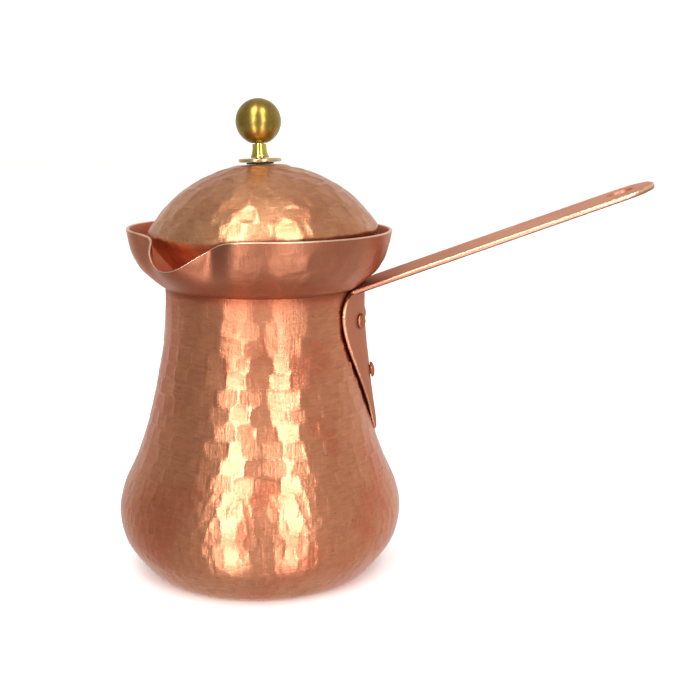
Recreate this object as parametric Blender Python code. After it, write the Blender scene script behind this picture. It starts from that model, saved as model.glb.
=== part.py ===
"""Hand-raised copper coffee pot with a riveted strap handle and a loose domed lid.

Frame: millimetres in the constants, metres in the scene.  The origin is the centre of the flat
base, +Z is up and the handle points along +X.
"""
import math

import bmesh
import bpy
import numpy as np
from mathutils import Matrix, Vector

MM = 0.001
GAP = 0.3                   # air between pieces that touch or rest on one another

# Pot: one raised sheet, from the flat base to the rim of the pouring collar
WALL = 1.1
BASE_FLAT_R = 35.5
BELLY_R = 50.0
BELLY_Z = 21.5
CREASE_R = 32.7             # the sharp groove where the neck meets the collar
CREASE_Z = 100.6
RIM_R = 45.5
RIM_Z = 121.2
RIM_SAG = 0.9               # the hand-made rim is this much lower on its -Y side
FOOT = [(BASE_FLAT_R, 0.0), (39.2, 1.2), (43.4, 5.6), (48.2, 13.0), (BELLY_R, BELLY_Z)]
WAIST = [(48.5, 30.0), (44.1, 40.0), (40.5, 50.0), (37.9, 60.0), (35.8, 70.0), (34.0, 80.0), (33.1, 90.0)]
COLLAR = [(35.3, 102.3), (38.8, 105.2), (41.9, 108.8), (44.2, 114.0)]

# Pouring lip: the rim dips and the wall beside it is pinched inwards
SPOUT_AZIMUTH = math.radians(233.5)
SPOUT_DIP = 11.4
SPOUT_HALF_ANGLES = (math.radians(14.8), math.radians(17.3))     # steeper on one side
SPOUT_SHAPE = 2.2           # power of the dip's bell curve, 2 is a plain bell
SPOUT_FLARE = 1.0           # how far the tip stands out past the rim
SPOUT_STRAIGHTEN = 0.6      # how far the bowl is drawn straight below the tip
PINCH_DEPTH = 4.0
PINCH_ANGLE = math.radians(19.5)
PINCH_WIDTH = math.radians(6.5)
FINE_HALF_ANGLE = math.radians(36)      # the lip's stretch of the rim, meshed more finely

# Handle: flat strap with a leaf-shaped plate, whose edges lie on the neck and whose middle stands off it
STRAP_T = 2.0
PLATE_T = 1.6               # the leaf is forged thinner than the strap
LEAF_TIP_T = 1.0
LEAF_THIN_Z = 76.0          # the leaf thins from here down to its tip
STRAP_HALF_W = 11.75
STRAP_RISE = math.radians(20.1)
STRAP_FROM = (48.0, 106.9)  # the strap's neck side passes through this (X, Z)
STRAP_END_X = 134.2         # neck side of the tip
BEND_R = 3.0
EDGE_GAP = 0.35             # air between the leaf's edges and the neck
PLATE_FACE = [(40.75, 50.2), (40.05, 54.8), (38.7, 61.2), (37.85, 66.2), (36.4, 76.3), (35.5, 83.8),
              (34.95, 91.0), (34.8, 98.0), (34.8, 104.0)]       # (X, Z) up the middle of the neck side
LEAF = [(0.0, 50.2), (1.0, 50.6), (1.7, 52.2), (3.9, 58.5), (7.7, 66.0), (10.8, 71.9), (13.1, 77.5),
        (15.2, 83.1), (16.5, 87.8), (16.9, 91.9), (16.0, 95.8), (13.8, 98.6), (11.4, 100.6),
        (11.2, 104.0)]                                          # (half width, Z)
WIDEN = 6.0                 # length over which the strap reaches its full width
SQUARE_UP = 16.0            # length over which its stations become square to it
HANG_HOLE_R = 4.5
HANG_HOLE_INSET = 11.5      # from the strap's tip to the hole's centre
TIP_SLIVER = 0.02           # the two ends keep this share of a step's width, so that they stay blunt

# Rivets: two side by side and one below them
RIVET_SHANK_R = 1.6
RIVET_HEAD_R = 2.8
RIVET_HEAD_H = 1.5
RIVET_TAIL_R = 2.5
RIVET_TAIL_H = 0.9
RIVET_TAIL_GAP = 0.9        # the neck curves away behind the flat tail
RIVET_REACH = 7.0           # the holes are drilled this far either way through the plate and the neck
RIVETS = {
    "rivet_near": (-8.2, 90.0),    # sideways from the handle's line, and height
    "rivet_far": (7.3, 90.7),
    "rivet_low": (0.0, 71.2),
}

# Lid, in its own frame: its origin is the centre of the bead that it sits on
SEAT_X = 1.75
SEAT_Z = 103.0
LID_TILT = math.radians(-2.44)      # the lid sits a little askew in the collar
LID_SHEET = 0.9
DOME_SPHERE_R = 46.8
DOME_CENTRE_Z = -6.8
DOME_START_Z = 18.7                 # the dome's sphere begins here, above the round shoulder
DOME_LAND_Z = 39.3                  # flat seat under the knob
PLUG_R = 29.4
PLUG_BOTTOM_Z = -5.5
BEAD_CENTRE_R = 30.0
BEAD_R = 2.5
BEAD_HALF_H = 1.7
FLARE = [(30.0, BEAD_HALF_H), (30.9, 4.1), (32.7, 6.5), (34.9, 9.1), (36.9, 11.7), (38.6, 14.2),
         (39.55, 16.3), (39.65, 17.5)]

# Knob: soft washer, disc, stem and ball stacked on the dome, on one M3 screw from inside
STACK_GAP = 0.25
WASHER_R = 4.7
WASHER_H = 0.5
DISC_R = 7.3
DISC_H = 1.15
DISC_EDGE = 0.2                     # eased corners
STEM_FOOT_R = 3.2
STEM_H = 4.65
STEM_SIDE = [(STEM_FOOT_R - 0.2, 0.0), (STEM_FOOT_R, 0.35), (2.75, 1.3), (2.45, 3.0), (2.4, STEM_H)]
BALL_R = 7.75
BALL_FLAT_H = 0.5                   # height lost where the ball is faced off to sit on the stem
SCREW_R = 1.5
BORE_R = SCREW_R + GAP
SCREW_IN_BALL = 5.7
SCREW_HEAD_R = 2.9
SCREW_HEAD_H = 1.75
SCREW_HEAD_EASE = 0.8
SCREW_TIP_EASE = 0.5
BACKER_R = 4.5                      # steel washer under the screw's head
BACKER_H = 0.6
WASHER_EDGE = 0.1                   # eased corners of both washers
SLOT_W = 0.9
SLOT_DEPTH = 0.8

WASHER_Z = DOME_LAND_Z + GAP
DISC_Z = WASHER_Z + WASHER_H + STACK_GAP
STEM_Z = DISC_Z + DISC_H + STACK_GAP
BALL_SEAT_Z = STEM_Z + STEM_H + STACK_GAP
BALL_Z = BALL_SEAT_Z + BALL_R - BALL_FLAT_H
SCREW_TIP_Z = BALL_SEAT_Z + SCREW_IN_BALL
BACKER_Z = DOME_LAND_Z - LID_SHEET - STACK_GAP - BACKER_H
SCREW_HEAD_Z = BACKER_Z - GAP - SCREW_HEAD_H


# ---------------------------------------------------------------- helpers

def clear_scene():
    for item in list(bpy.data.objects):
        bpy.data.objects.remove(item, do_unlink=True)


def make_material(name, color, roughness, metallic=1.0):
    material = bpy.data.materials.new(name)
    material.use_nodes = True
    shader = material.node_tree.nodes["Principled BSDF"]
    shader.inputs["Base Color"].default_value = (*color, 1.0)
    shader.inputs["Roughness"].default_value = roughness
    shader.inputs["Metallic"].default_value = metallic
    return material


def smooth_curve(points, steps):
    """Catmull-Rom curve through the points, with the given steps between each two."""
    ends = [2 * Vector(points[0]) - Vector(points[1])]
    knots = ends + [Vector(p) for p in points] + [2 * Vector(points[-1]) - Vector(points[-2])]
    curve = []
    for a, b, c, d in zip(knots, knots[1:], knots[2:], knots[3:]):
        for step in range(steps):
            t = step / steps
            curve.append(0.5 * (2 * b + (c - a) * t + (2 * a - 5 * b + 4 * c - d) * t ** 2
                                + (3 * b - a - 3 * c + d) * t ** 3))
    curve.append(knots[-2])
    return curve


def offset_curve(curve, distance):
    """The curve moved to its left by a distance, by the mean normal at each point."""
    moved = []
    for index, point in enumerate(curve):
        before = curve[max(index - 1, 0)]
        after = curve[min(index + 1, len(curve) - 1)]
        along = (after - before).normalized()
        moved.append(point + distance * Vector((-along.y, along.x)))
    return moved


def even_angles(count):
    return [2 * math.pi * i / count for i in range(count)]


def skin(name, rings, material):
    """Closed object whose skin runs through rings of points; a ring of one point closes an end."""
    bm = bmesh.new()
    loops = [[bm.verts.new(Vector(p) * MM) for p in ring] for ring in rings]
    for low, high in zip(loops, loops[1:]):
        count = max(len(low), len(high))
        for i in range(count):
            j = (i + 1) % count
            corners = [low[i % len(low)], low[j % len(low)], high[j % len(high)], high[i % len(high)]]
            bm.faces.new(list(dict.fromkeys(corners)))
    return finish_mesh(name, bm, material)


def finish_mesh(name, bm, material):
    bmesh.ops.recalc_face_normals(bm, faces=bm.faces)
    mesh = bpy.data.meshes.new(name)
    bm.to_mesh(mesh)
    bm.free()
    mesh.shade_smooth()
    mesh.set_sharp_from_angle(angle=math.radians(35))
    mesh.materials.append(material)
    item = bpy.data.objects.new(name, mesh)
    bpy.context.scene.collection.objects.link(item)
    return item


def turned(name, loop, material, count=24):
    """Body turned round Z from a closed (radius, height) loop; a radius of 0 is a pole."""
    rings = []
    for r, z in loop:
        if r == 0:
            rings.append([(0, 0, z)])
        else:
            rings.append([(r * math.cos(a), r * math.sin(a), z) for a in even_angles(count)])
    if loop[0][0] > 0:
        return turned_ring(name, rings, material)
    return skin(name, rings, material)


def turned_ring(name, rings, material):
    """Body with a hole along its axis: the last ring is joined back to the first."""
    bm = bmesh.new()
    loops = [[bm.verts.new(Vector(p) * MM) for p in ring] for ring in rings]
    count = len(loops[0])
    for low, high in zip(loops, loops[1:] + loops[:1]):
        for i in range(count):
            j = (i + 1) % count
            bm.faces.new((low[i], low[j], high[j], high[i]))
    return finish_mesh(name, bm, material)


def cut(item, cutter):
    modifier = item.modifiers.new("cut", "BOOLEAN")
    modifier.operation = "DIFFERENCE"
    modifier.solver = "EXACT"
    modifier.object = cutter


def as_cutter(item):
    item.hide_render = True
    item.display_type = "WIRE"
    return item


# ---------------------------------------------------------------- pot

def value_at(curve, z):
    """First coordinate of a curve where it passes a height; past its ends, the end's own."""
    if z >= curve[-1].y:
        return curve[-1].x
    for low, high in zip(curve, curve[1:]):
        if low.y <= z <= high.y:
            return low.x + (high.x - low.x) * (z - low.y) / (high.y - low.y)
    return curve[0].x


NECK_CURVE = smooth_curve(FOOT + WAIST + [(CREASE_R, CREASE_Z)], 8)
PLATE_CURVE = smooth_curve(PLATE_FACE, 6)
LEAF_CURVE = smooth_curve(LEAF, 4)


def neck_radius(z):
    """Outer radius of the pot's body at a height up to the crease, and the crease's own above it."""
    return value_at(NECK_CURVE, z)


def turn_angles():
    """Angles round the pot, twice as close together at the pouring lip."""
    fine = [FINE_HALF_ANGLE * (i / 12 - 1) for i in range(24)]
    rest = 2 * math.pi - 2 * FINE_HALF_ANGLE
    coarse = [FINE_HALF_ANGLE + rest * i / 40 for i in range(40)]
    return [SPOUT_AZIMUTH + angle for angle in fine + coarse]


def shape_lip(r, z, angle):
    """Bend a point of the collar for the pouring lip."""
    rise = (z - CREASE_Z) / (RIM_Z - CREASE_Z)
    if rise <= 0:
        return r, z
    off = math.remainder(angle - SPOUT_AZIMUTH, 2 * math.pi)
    half_angle = SPOUT_HALF_ANGLES[off > 0]
    dip = math.exp(-abs(off / half_angle) ** SPOUT_SHAPE)
    pinch = math.exp(-((abs(off) - PINCH_ANGLE) / PINCH_WIDTH) ** 2)
    straight = CREASE_R + (RIM_R - CREASE_R) * rise
    r += (straight - r) * SPOUT_STRAIGHTEN * dip
    r += (SPOUT_FLARE * dip ** 2 - PINCH_DEPTH * pinch) * rise ** 1.5
    z -= (SPOUT_DIP * dip + RIM_SAG * max(-math.sin(angle), 0) * (1 - dip)) * rise
    return r, z


def pot_profile():
    """Outer skin from the base to the rim, then the inner skin back down, as (radius, height)."""
    body = smooth_curve(FOOT + WAIST + [(CREASE_R, CREASE_Z)], 2)
    collar = smooth_curve([(CREASE_R, CREASE_Z)] + COLLAR + [(RIM_R, RIM_Z - WALL / 2)], 2)
    inside_body = offset_curve(body, WALL)[2::2]
    inside_floor = [Vector((BASE_FLAT_R - 1.0, WALL))]
    inside_collar = offset_curve(collar, WALL)[::2]
    lip = [Vector((RIM_R - WALL / 2, RIM_Z))]
    inside = inside_floor + inside_body + inside_collar
    return body + collar[1:] + lip + inside[::-1]


def build_pot(copper):
    angles = turn_angles()
    rings = [[(0, 0, 0)]]
    for r, z in pot_profile():
        ring = []
        for angle in angles:
            bent_r, bent_z = shape_lip(r, z, angle)
            ring.append((bent_r * math.cos(angle), bent_r * math.sin(angle), bent_z))
        rings.append(ring)
    rings.append([(0, 0, WALL)])
    return skin("pot_body", rings, copper)


# ---------------------------------------------------------------- handle

def plate_point(across, z):
    """Point of the plate's neck side: across runs from -1 to 1 over the leaf's width at that height."""
    middle = value_at(PLATE_CURVE, z)
    width = value_at(LEAF_CURVE, z)
    edge = math.sqrt((neck_radius(z) + EDGE_GAP) ** 2 - width ** 2)
    return np.array((middle - (middle - edge) * across ** 2, width * across, z))


def stringer(across):
    """Neck side of the handle from tip to tip along one line at across of its width."""
    rise = math.tan(STRAP_RISE)
    along = np.array((math.cos(STRAP_RISE), 0, math.sin(STRAP_RISE)))
    fold_x, fold_y, _ = plate_point(across, CREASE_Z)
    fold = np.array((fold_x, fold_y, STRAP_FROM[1] + (fold_x - STRAP_FROM[0]) * rise))
    reach = BEND_R * math.tan((math.pi / 2 - STRAP_RISE) / 2)
    plate_steps, bend_steps, strap_steps, end_steps = 18, 4, 10, 6
    top = fold[2] - reach
    low = LEAF[0][1]
    points = [plate_point(across, low + (top - low) * i / plate_steps) for i in range(plate_steps)]
    start, finish = plate_point(across, top), fold + along * reach
    for i in range(bend_steps + 1):
        t = i / bend_steps
        points.append(start * (1 - t) ** 2 + 2 * fold * t * (1 - t) + finish * t ** 2)
    middle_start = value_at(PLATE_CURVE, CREASE_Z) + reach * along[0]
    end_run = (STRAP_END_X - middle_start) / along[0]
    straight = end_run - STRAP_HALF_W
    runs = [straight * i / strap_steps for i in range(1, strap_steps + 1)]
    for i in range(1, end_steps + 1):
        runs.append(straight + STRAP_HALF_W * math.sin(math.pi / 2 * i / end_steps))
    for run in runs:
        skewed = max(1 - run / SQUARE_UP, 0) * (finish[0] - middle_start)
        x = middle_start + run * along[0] + skewed
        round_off = max(STRAP_HALF_W - (end_run - run), 0)
        width = math.sqrt(max(STRAP_HALF_W ** 2 - round_off ** 2, 0))
        narrow = (STRAP_HALF_W - value_at(LEAF_CURVE, CREASE_Z)) * max(1 - run / WIDEN, 0)
        points.append(np.array((x, (width - narrow) * across, STRAP_FROM[1] + (x - STRAP_FROM[0]) * rise)))
    return points


def sheet_thickness(z):
    """Thickness of the handle's sheet where its middle line is at this height."""
    if z > CREASE_Z:
        return STRAP_T
    thin = min(max((LEAF_THIN_Z - z) / (LEAF_THIN_Z - LEAF[0][1]), 0), 1)
    return PLATE_T + (LEAF_TIP_T - PLATE_T) * thin


def build_handle(copper):
    columns = 10
    grid = np.array([stringer(2 * i / columns - 1) for i in range(columns + 1)]).transpose(1, 0, 2)
    grid[0] += (grid[1] - grid[0]) * TIP_SLIVER
    grid[-1] += (grid[-2] - grid[-1]) * TIP_SLIVER
    normals = np.cross(np.gradient(grid, axis=1), np.gradient(grid, axis=0))
    normals /= np.linalg.norm(normals, axis=2, keepdims=True)
    thickness = np.array([sheet_thickness(z) for z in grid[:, columns // 2, 2]])[:, None, None]
    outer = grid + normals * thickness
    rings = [[(grid[0] + outer[0]).mean(axis=0) / 2]]
    rings += [list(inner) + list(out[::-1]) for inner, out in zip(grid[1:-1], outer[1:-1])]
    rings.append([(grid[-1] + outer[-1]).mean(axis=0) / 2])
    return skin("handle", rings, copper)


def hang_hole_cutter():
    x = STRAP_END_X - HANG_HOLE_INSET * math.cos(STRAP_RISE)
    z = STRAP_FROM[1] + (x - STRAP_FROM[0]) * math.tan(STRAP_RISE)
    depth = 3 * STRAP_T
    loop = [(0, -depth), (HANG_HOLE_R, -depth), (HANG_HOLE_R, depth), (0, depth)]
    cutter = turned("hang_hole_cutter", loop, make_material("guide", (0.5, 0.5, 0.5), 0.5), 32)
    cutter.location = Vector((x, 0, z)) * MM
    cutter.rotation_euler = (0, -STRAP_RISE, 0)
    return as_cutter(cutter)


# ---------------------------------------------------------------- rivets

def rivet_frame(side, z):
    """Place of a rivet: origin on the plate's neck side, local Z along the plate's outward normal."""
    across = side / value_at(LEAF_CURVE, z)
    nudge = 0.01
    point = plate_point(across, z)
    over = plate_point(across + nudge, z) - plate_point(across - nudge, z)
    up = plate_point(across, z + nudge) - plate_point(across, z - nudge)
    outward = Vector(np.cross(over, up)).normalized()
    return Matrix.Translation(Vector(point) * MM) @ outward.to_track_quat("Z", "Y").to_matrix().to_4x4()


def air_behind(frame):
    """Distance from the plate to the neck's outer skin, back along the rivet's axis."""
    distance, step = 0.0, 0.05
    point = frame.translation / MM
    back = -(frame.to_3x3() @ Vector((0, 0, 1)))
    while (point + back * distance).xy.length > neck_radius((point + back * distance).z):
        distance += step
    return distance


def dome_points(radius, base, height, steps):
    """Rounded head, from its edge up to its pole."""
    return [(radius * math.cos(math.pi / 2 * i / steps), base + height * math.sin(math.pi / 2 * i / steps))
            for i in range(steps)] + [(0, base + height)]


def build_rivet(name, place, copper):
    frame = rivet_frame(*place)
    head_base = PLATE_T + GAP
    tail_base = -air_behind(frame) - WALL - RIVET_TAIL_GAP
    tail = [(r, 2 * tail_base - z) for r, z in dome_points(RIVET_TAIL_R, tail_base, RIVET_TAIL_H, 3)]
    head = dome_points(RIVET_HEAD_R, head_base, RIVET_HEAD_H, 4)
    loop = tail[::-1] + [(RIVET_SHANK_R, tail_base), (RIVET_SHANK_R, head_base)] + head
    rivet = turned(name, loop, copper, 16)
    rivet.matrix_world = frame
    return rivet


def rivet_hole_cutter():
    """Round bars through the plate and the neck's near wall."""
    radius = (RIVET_SHANK_R + GAP) * MM
    bm = bmesh.new()
    for place in RIVETS.values():
        bmesh.ops.create_cone(bm, cap_ends=True, segments=16, depth=2 * RIVET_REACH * MM,
                              radius1=radius, radius2=radius, matrix=rivet_frame(*place))
    return as_cutter(finish_mesh("rivet_hole_cutter", bm, make_material("guide", (0.5, 0.5, 0.5), 0.5)))


# ---------------------------------------------------------------- lid

def sphere_arc(radius, z_low, z_high, steps):
    """Points on the dome's sphere family, from a low height up to a high one."""
    low = math.asin((z_low - DOME_CENTRE_Z) / radius)
    high = math.asin(min((z_high - DOME_CENTRE_Z) / radius, 1))
    angles = [low + (high - low) * i / steps for i in range(steps + 1)]
    return [Vector((radius * math.cos(a), DOME_CENTRE_Z + radius * math.sin(a))) for a in angles]


def build_shell(copper):
    """The lid's one raised sheet: plug, seat bead, flare, round shoulder and dome."""
    plug = [Vector((PLUG_R, PLUG_BOTTOM_Z)), Vector((PLUG_R, PLUG_BOTTOM_Z / 2))]
    bead_steps = 6
    bead = []
    for i in range(bead_steps + 1):
        angle = math.pi * (i / bead_steps - 0.5)
        bead.append(Vector((BEAD_CENTRE_R + BEAD_R * math.cos(angle), BEAD_HALF_H * math.sin(angle))))
    flare = [Vector(point) for point in FLARE[1:]]
    dome = sphere_arc(DOME_SPHERE_R, DOME_START_Z, DOME_LAND_Z, 9)
    outer = plug + bead + flare + dome
    inner = offset_curve(outer, LID_SHEET)
    land = [Vector((BORE_R, DOME_LAND_Z)), Vector((BORE_R, DOME_LAND_Z - LID_SHEET))]
    return turned("lid_shell", outer + land + inner[::-1], copper, 40)


# ---------------------------------------------------------------- knob

def build_ball(brass):
    steps = 12
    start = math.asin((BALL_SEAT_Z - BALL_Z) / BALL_R)
    arc = [(BALL_R * math.cos(a), BALL_Z + BALL_R * math.sin(a))
           for a in [start + (math.pi / 2 - start) * i / steps for i in range(steps)]]
    bore_top = SCREW_TIP_Z + GAP
    loop = [(0, bore_top), (BORE_R, bore_top), (BORE_R, BALL_SEAT_Z)] + arc + [(0, BALL_Z + BALL_R)]
    return turned("knob_ball", loop, brass, 28)


def build_stem(brass):
    foot = [(BORE_R, STEM_Z), (STEM_SIDE[0][0], STEM_Z)]
    waist = smooth_curve([(r, STEM_Z + rise) for r, rise in STEM_SIDE[1:]], 2)
    loop = foot + [tuple(point) for point in waist] + [(BORE_R, STEM_Z + STEM_H)]
    return turned("knob_stem", loop, brass, 24)


def build_disc(name, radius, low, height, material, count, edge):
    """Flat washer with its outer corners eased by edge."""
    high = low + height
    loop = [(BORE_R, low), (radius - edge, low), (radius, low + edge), (radius, high - edge),
            (radius - edge, high), (BORE_R, high)]
    return turned(name, loop, material, count)


def build_screw(steel):
    low, high = SCREW_HEAD_Z, SCREW_HEAD_Z + SCREW_HEAD_H
    head = [(0, low), (SCREW_HEAD_R - SCREW_HEAD_EASE, low), (SCREW_HEAD_R, low + SCREW_HEAD_EASE),
            (SCREW_HEAD_R, high), (SCREW_R, high)]
    tip = [(SCREW_R, SCREW_TIP_Z - SCREW_TIP_EASE), (SCREW_R - SCREW_TIP_EASE, SCREW_TIP_Z),
           (0, SCREW_TIP_Z)]
    loop = head + tip
    return turned("knob_screw", loop, steel, 20)


def slot_cutter():
    bm = bmesh.new()
    size = Matrix.Diagonal((3 * SCREW_HEAD_R * MM, SLOT_W * MM, 2 * SLOT_DEPTH * MM, 1))
    bmesh.ops.create_cube(bm, size=1.0, matrix=Matrix.Translation((0, 0, SCREW_HEAD_Z * MM)) @ size)
    return as_cutter(finish_mesh("slot_cutter", bm, make_material("guide", (0.5, 0.5, 0.5), 0.5)))


# ---------------------------------------------------------------- assembly

def lid_seat():
    """Empty that carries the whole lid: centre of the seat bead, tilted as the lid sits."""
    seat = bpy.data.objects.new("lid_seat", None)
    bpy.context.scene.collection.objects.link(seat)
    seat.location = Vector((SEAT_X, 0, SEAT_Z)) * MM
    seat.rotation_euler = (0, LID_TILT, 0)
    return seat


def main():
    clear_scene()
    copper = make_material("pot_copper", (0.86, 0.46, 0.33), 0.34)
    strap_copper = make_material("handle_copper", (0.87, 0.45, 0.35), 0.38)
    rivet_copper = make_material("rivet_copper", (0.82, 0.40, 0.28), 0.32)
    lid_copper = make_material("lid_copper", (0.88, 0.50, 0.34), 0.33)
    satin_brass = make_material("satin_brass", (0.60, 0.42, 0.16), 0.38)
    bright_brass = make_material("bright_brass", (0.80, 0.62, 0.26), 0.16)
    rubber = make_material("black_washer", (0.02, 0.02, 0.02), 0.7, 0.0)
    steel = make_material("screw_steel", (0.62, 0.62, 0.63), 0.3)

    holes = rivet_hole_cutter()
    pot = build_pot(copper)
    cut(pot, holes)
    handle = build_handle(strap_copper)
    cut(handle, holes)
    cut(handle, hang_hole_cutter())
    for name, place in RIVETS.items():
        build_rivet(name, place, rivet_copper)

    screw = build_screw(steel)
    slot = slot_cutter()
    cut(screw, slot)
    lid = [
        build_shell(lid_copper),
        build_ball(satin_brass),
        build_stem(bright_brass),
        build_disc("knob_disc", DISC_R, DISC_Z, DISC_H, bright_brass, 32, DISC_EDGE),
        build_disc("knob_washer", WASHER_R, WASHER_Z, WASHER_H, rubber, 20, WASHER_EDGE),
        build_disc("screw_washer", BACKER_R, BACKER_Z, BACKER_H, steel, 20, WASHER_EDGE),
        screw,
        slot,
    ]
    seat = lid_seat()
    for item in lid:
        item.parent = seat


main()
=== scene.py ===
import math

import bpy
import numpy as np
from mathutils import Matrix, Vector


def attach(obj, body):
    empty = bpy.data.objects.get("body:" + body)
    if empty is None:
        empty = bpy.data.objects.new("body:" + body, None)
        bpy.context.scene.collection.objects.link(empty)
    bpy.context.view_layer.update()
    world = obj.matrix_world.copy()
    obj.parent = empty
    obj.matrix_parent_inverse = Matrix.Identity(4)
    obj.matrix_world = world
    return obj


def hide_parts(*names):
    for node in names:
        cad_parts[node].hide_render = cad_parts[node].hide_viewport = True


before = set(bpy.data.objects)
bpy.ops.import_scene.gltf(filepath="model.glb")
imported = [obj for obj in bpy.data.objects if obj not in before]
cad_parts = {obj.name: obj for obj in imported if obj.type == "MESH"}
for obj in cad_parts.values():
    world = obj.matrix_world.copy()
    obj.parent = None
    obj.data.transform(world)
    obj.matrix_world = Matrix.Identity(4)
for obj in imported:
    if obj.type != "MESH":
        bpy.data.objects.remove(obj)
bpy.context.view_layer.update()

MM = 0.001

# ---------------------------------------------------------------- dimensions, in millimetres as in the CAD

WALL = 1.1
BASE_FLAT_R = 35.5
BELLY_R = 49.92
CREASE_R = 32.7
CREASE_Z = 100.6
RIM_R = 45.5
RIM_Z = 121.2
RIM_SAG = 0.9
FOOT = [(BASE_FLAT_R, 0.0), (39.2, 1.2), (43.4, 5.6), (48.2, 13.0), (BELLY_R, 21.5)]
WAIST = [(48.5, 30.0), (44.1, 40.0), (40.5, 50.0), (37.9, 60.0), (35.8, 70.0), (34.0, 80.0), (33.1, 90.0)]
COLLAR = [(35.3, 102.3), (38.8, 105.2), (41.9, 108.8), (44.2, 114.0)]
SPOUT_AZIMUTH = math.radians(233.5)
SPOUT_DIP = 11.4
SPOUT_HALF_ANGLES = (math.radians(14.8), math.radians(17.3))
SPOUT_SHAPE = 2.2
SPOUT_FLARE = 1.0
SPOUT_STRAIGHTEN = 0.6
PINCH_DEPTH = 4.0
PINCH_ANGLE = math.radians(19.5)
PINCH_WIDTH = math.radians(6.5)
SPOUT_SMOOTH_ANGLE = math.radians(33)
RIM_FADE = 3.0
BASE_FADE = 2.0
LIP_HEIGHT = 0.75

STRAP_T = 2.0
PLATE_T = 1.6
LEAF_TIP_T = 1.0
LEAF_THIN_Z = 76.0
STRAP_HALF_W = 11.75
STRAP_RISE = math.radians(20.1)
STRAP_FROM = (48.0, 106.9)
STRAP_END_X = 134.1
BEND_R = 3.0
EDGE_GAP = -0.08      # the plate's edges rest on the neck
TIP_ROUND = 0.8
TIP_SINK = 0.4        # the leaf's tip lies a little closer to the neck, from TIP_SINK_Z down
TIP_SINK_Z = 60.0
LEAF_LEAST_HALF_W = 0.15
PLATE_FACE = [(40.75, 50.2), (40.05, 54.8), (38.7, 61.2), (37.85, 66.2), (36.4, 76.3), (35.5, 83.8),
              (34.95, 91.0), (34.8, 98.0), (34.8, 104.0)]
LEAF = [(0.0, 50.2), (1.0, 50.6), (1.7, 52.2), (3.9, 58.5), (7.7, 66.0), (10.8, 71.9), (13.1, 77.5),
        (15.2, 83.1), (16.5, 87.8), (16.9, 91.9), (16.0, 95.8), (13.8, 98.6), (11.4, 100.6), (11.2, 104.0)]
WIDEN = 6.0
SQUARE_UP = 16.0
HANG_HOLE_R = 4.5
HANG_HOLE_INSET = 11.5
RIVET_GAP = 0.05
RIVET_SHANK_R = 1.6
RIVET_HEAD_R = 2.8
RIVET_HEAD_H = 1.5
RIVET_TAIL_R = 2.5
RIVET_TAIL_H = 0.9
RIVET_TAIL_GAP = 0.9
RIVET_BLOW_R = 1.6
RIVETS = {"rivet_near": (-8.2, 90.0), "rivet_far": (7.3, 90.7), "rivet_low": (0.0, 71.2)}

SEAT_X = 1.75
SEAT_Z = 103.0
LID_TILT = math.radians(-2.44)
LID_SHEET = 0.9
DOME_SPHERE_R = 46.8
DOME_CENTRE_Z = -6.8
DOME_START_Z = 18.7
DOME_LAND_Z = 39.3
PLUG_R = 29.4
PLUG_BOTTOM_Z = -5.5
BEAD_CENTRE_R = 30.0
BEAD_R = 2.5
BEAD_HALF_H = 1.7
FLARE = [(30.0, BEAD_HALF_H), (30.9, 4.1), (32.7, 6.5), (34.9, 9.1), (36.9, 11.7), (38.6, 14.2),
         (39.55, 16.3), (39.65, 17.5)]
BORE_R = 1.8
DISC_Z = 40.35
DISC_H = 1.15
DISC_R = 7.3
STEM_Z = 41.75
STEM_H = 4.65
STEM_R = 2.4
STEM_FOOT_R = 3.2
BALL_SEAT_Z = 46.65
BALL_R = 7.74
BALL_Z = BALL_SEAT_Z + BALL_R - 0.5
BALL_BORE_TOP_Z = 52.65

WHITE_LEVEL = 1.25
ROOM_LEVEL = 0.52
ROOM_SIDE = 0.13
ROOM_BACK = 0.30
ROOM_TOP = -0.10
ROOM_BELOW = -0.06
ROOM_LEAST = 0.05
STRIP_TINT = (0.95, 1.0, 1.06)

POT_COLUMNS = 600
LID_COLUMNS = 480
ROW_STEP = 0.6
INSIDE_STEP = 1.4
LID_STEP = 0.55
NUDGE = 0.01
POT_SEED = 11
LID_SEED = 23
HANDLE_SEED = 5
RIVET_SEED = 40

# The "ridge" attribute runs from 0 to 1 on a hammered skin. The rim lies above it, for a painted highlight;
# the handle's seams and lower edge lie below it, for a painted shadow.
PLAIN_RIDGE = 0.5
RIM_RIDGE = 2.0
PAINTED_SHADOW_RIDGE = -1.0


# ---------------------------------------------------------------- curves and grids

def curve_through(points, steps=24):
    """Catmull-Rom curve through (radius, height) points."""
    points = np.array(points, float)
    knots = np.vstack([2 * points[0] - points[1], points, 2 * points[-1] - points[-2]])
    t = np.arange(steps)[:, None] / steps
    spans = []
    for a, b, c, d in zip(knots, knots[1:], knots[2:], knots[3:]):
        spans.append(0.5 * (2 * b + (c - a) * t + (2 * a - 5 * b + 4 * c - d) * t ** 2
                            + (3 * b - a - 3 * c + d) * t ** 3))
    return np.vstack(spans + [points[-1:]])


def run_of(curve):
    """Length run at each point of a curve."""
    steps = np.linalg.norm(np.diff(curve, axis=0), axis=1)
    return np.concatenate([[0.0], np.cumsum(steps)])


def even_steps(curve, spacing):
    """The curve again, in steps of nearly equal length."""
    run = run_of(curve)
    at = np.linspace(0, run[-1], max(int(round(run[-1] / spacing)), 1) + 1)
    return np.column_stack([np.interp(at, run, curve[:, 0]), np.interp(at, run, curve[:, 1])])


def offset_curve(curve, distance):
    """The curve moved to its left."""
    along = np.gradient(curve, axis=0)
    along /= np.linalg.norm(along, axis=1)[:, None]
    return curve + distance * np.column_stack([-along[:, 1], along[:, 0]])


def arc(centre, radius, start, end, steps):
    """Points of a circular arc in (radius, height), angles in degrees."""
    angles = np.radians(np.linspace(start, end, steps + 1))
    return np.column_stack([centre[0] + radius * np.cos(angles), centre[1] + radius * np.sin(angles)])


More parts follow.
